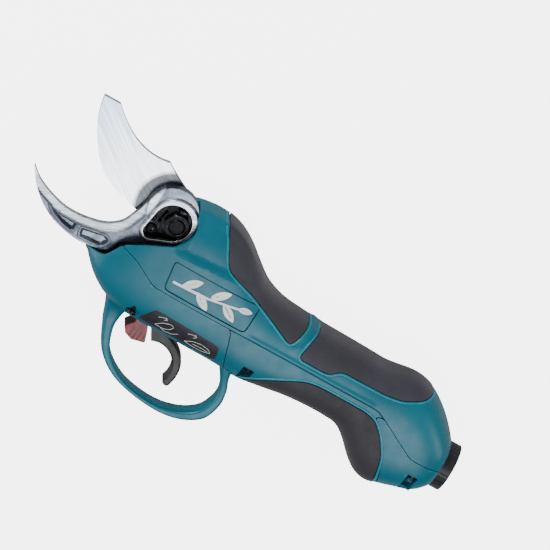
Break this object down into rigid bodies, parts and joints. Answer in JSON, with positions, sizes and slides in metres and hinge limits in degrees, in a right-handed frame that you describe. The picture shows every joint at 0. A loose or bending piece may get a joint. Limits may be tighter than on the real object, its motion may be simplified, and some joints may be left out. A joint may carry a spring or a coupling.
{
  "type": "battery pruning shear handpiece",
  "caption": "Powered bypass pruner handpiece with a fixed hook blade, a pivoting cutting blade, ring trigger guard, rubber grips and a round cord inlet.",
  "frame": {"origin": "middle of the box's bottom, with the tool lying on its right side", "axes": "+X towards the tail and the cord inlet, +Y towards the top of the tool away from the trigger, +Z towards its left side"},
  "size_m": [0.3066, 0.154, 0.0465],
  "materials": {
    "shell": "satin moulded",
    "grip": "soft matte overmould",
    "emblem": "satin print",
    "label": "matte film",
    "blade_steel": "ground and polished",
    "black_steel": "black phosphate",
    "machined_steel": "machined",
    "bronze": "machined",
    "cast_aluminium": "die cast",
    "magnet": "plated",
    "black_plastic": "moulded",
    "dark_plastic": "moulded",
    "red_plastic": "moulded",
    "board": "solder mask",
    "seal_rubber": "matte",
    "wire_cover": "wire cover"
  },
  "bodies": {
    "housing": {"board_parts": "black_plastic", "connector_body": "black_plastic", "connector_contacts": "bronze", "connector_seal": "seal_rubber", "control_board": "board", "front_lower_housing": "shell", "front_top_grip": "grip", "gear_case": "cast_aluminium", "head_frame": "cast_aluminium", "hook_blade": "blade_steel", "hook_blade_screws": "black_steel", "housing_screws": "black_steel", "lock_pin": "black_steel", "lock_plate": "black_steel", "lock_plate_screws": "black_steel", "lock_spring": "machined_steel", "lower_grip": "grip", "motor_bearings": "machined_steel", "motor_can": "machined_steel", "motor_end_cap": "black_plastic", "motor_magnets": "magnet", "name_plate": "shell", "pivot_bolt": "black_steel", "pivot_nut": "black_steel", "rear_lower_housing": "shell", "rear_top_grip": "grip", "ring_gear": "machined_steel", "screw_bearing": "machined_steel", "side_label": "label", "tail_cover": "shell", "trigger_pin": "black_steel", "trigger_sensor": "board", "trigger_spring": "machined_steel", "twig_emblem": "emblem", "upper_housing": "shell", "wire_harness": "wire_cover"},
    "cutting_blade": {"cutting_blade": "blade_steel", "pivot_bush": "bronze", "crank_pin": "black_steel"},
    "carriage": {"ball_nut": "machined_steel", "nut_pin": "black_steel"},
    "link": {"link_plate": "machined_steel"},
    "screw_shaft": {"ball_screw": "machined_steel", "planet_carrier": "machined_steel"},
    "planet_1": {"planet_gear_1": "machined_steel"},
    "planet_2": {"planet_gear_2": "machined_steel"},
    "planet_3": {"planet_gear_3": "machined_steel"},
    "rotor": {"motor_shaft": "machined_steel", "motor_rotor": "machined_steel"},
    "trigger": {"trigger": "dark_plastic", "trigger_magnet": "magnet"},
    "lock_lever": {"lock_lever": "red_plastic"},
    "coupling_ring": {"connector_ring": "dark_plastic"}
  },
  "joints": [
    {"name": "blade_pivot", "type": "hinge", "parent": "housing", "child": "cutting_blade", "pos_m": [-0.06235, 0.03047, 0.02325], "axis": [0, 0, 1], "range_deg": [0, 40]},
    {"name": "nut_slide", "type": "slide", "parent": "housing", "child": "carriage", "axis": [1, 0, 0], "range_m": [0, 0.01381]},
    {"name": "link_swing", "type": "hinge", "parent": "carriage", "child": "link", "pos_m": [-0.03515, 0.00447, 0.02325], "axis": [0, 0, 1], "range_deg": [-1, 0]},
    {"name": "screw_spin", "type": "hinge", "parent": "housing", "child": "screw_shaft", "pos_m": [0.00765, -0.00453, 0.02525], "axis": [1, 0, 0], "range_deg": [0, 983]},
    {"name": "rotor_spin", "type": "hinge", "parent": "housing", "child": "rotor", "pos_m": [0.04765, -0.00453, 0.02525], "axis": [1, 0, 0], "range_deg": [0, 3925]},
    {"name": "planet_1_spin", "type": "hinge", "parent": "screw_shaft", "child": "planet_1", "pos_m": [0.01765, -0.00453, 0.03365], "axis": [1, 0, 0], "range_deg": [-2945, 0]},
    {"name": "planet_2_spin", "type": "hinge", "parent": "screw_shaft", "child": "planet_2", "pos_m": [0.01765, -0.0118, 0.02105], "axis": [1, 0, 0], "range_deg": [-2945, 0]},
    {"name": "planet_3_spin", "type": "hinge", "parent": "screw_shaft", "child": "planet_3", "pos_m": [0.01765, 0.00275, 0.02105], "axis": [1, 0, 0], "range_deg": [-2945, 0]},
    {"name": "trigger_pull", "type": "hinge", "parent": "housing", "child": "trigger", "pos_m": [-0.03735, -0.02653, 0.02325], "axis": [0, 0, 1], "range_deg": [0, 14], "stiffness_Nm_per_rad": 0.1, "springref_deg": -17.19, "deforming": ["trigger_spring"]},
    {"name": "lever_press", "type": "hinge", "parent": "housing", "child": "lock_lever", "pos_m": [-0.04935, -0.02803, 0.02325], "axis": [0, 0, -1], "range_deg": [0, 10], "stiffness_Nm_per_rad": 0.04, "springref_deg": -17.19, "deforming": ["lock_spring"]},
    {"name": "coupling_turn", "type": "hinge", "parent": "housing", "child": "coupling_ring", "pos_m": [0.14765, -0.02193, 0.02325], "axis": [1, 0, 0], "range_deg": [0, 45]}
  ],
  "couplings": [
    {"joint": "nut_slide", "follows": "blade_pivot", "m_per_rad": 0.0195},
    {"joint": "link_swing", "follows": "blade_pivot", "ratio": -0.02},
    {"joint": "screw_spin", "follows": "blade_pivot", "ratio": 24.504},
    {"joint": "rotor_spin", "follows": "blade_pivot", "ratio": 98.018},
    {"joint": "planet_1_spin", "follows": "blade_pivot", "ratio": -73.513},
    {"joint": "planet_2_spin", "follows": "blade_pivot", "ratio": -73.513},
    {"joint": "planet_3_spin", "follows": "blade_pivot", "ratio": -73.513}
  ]
}
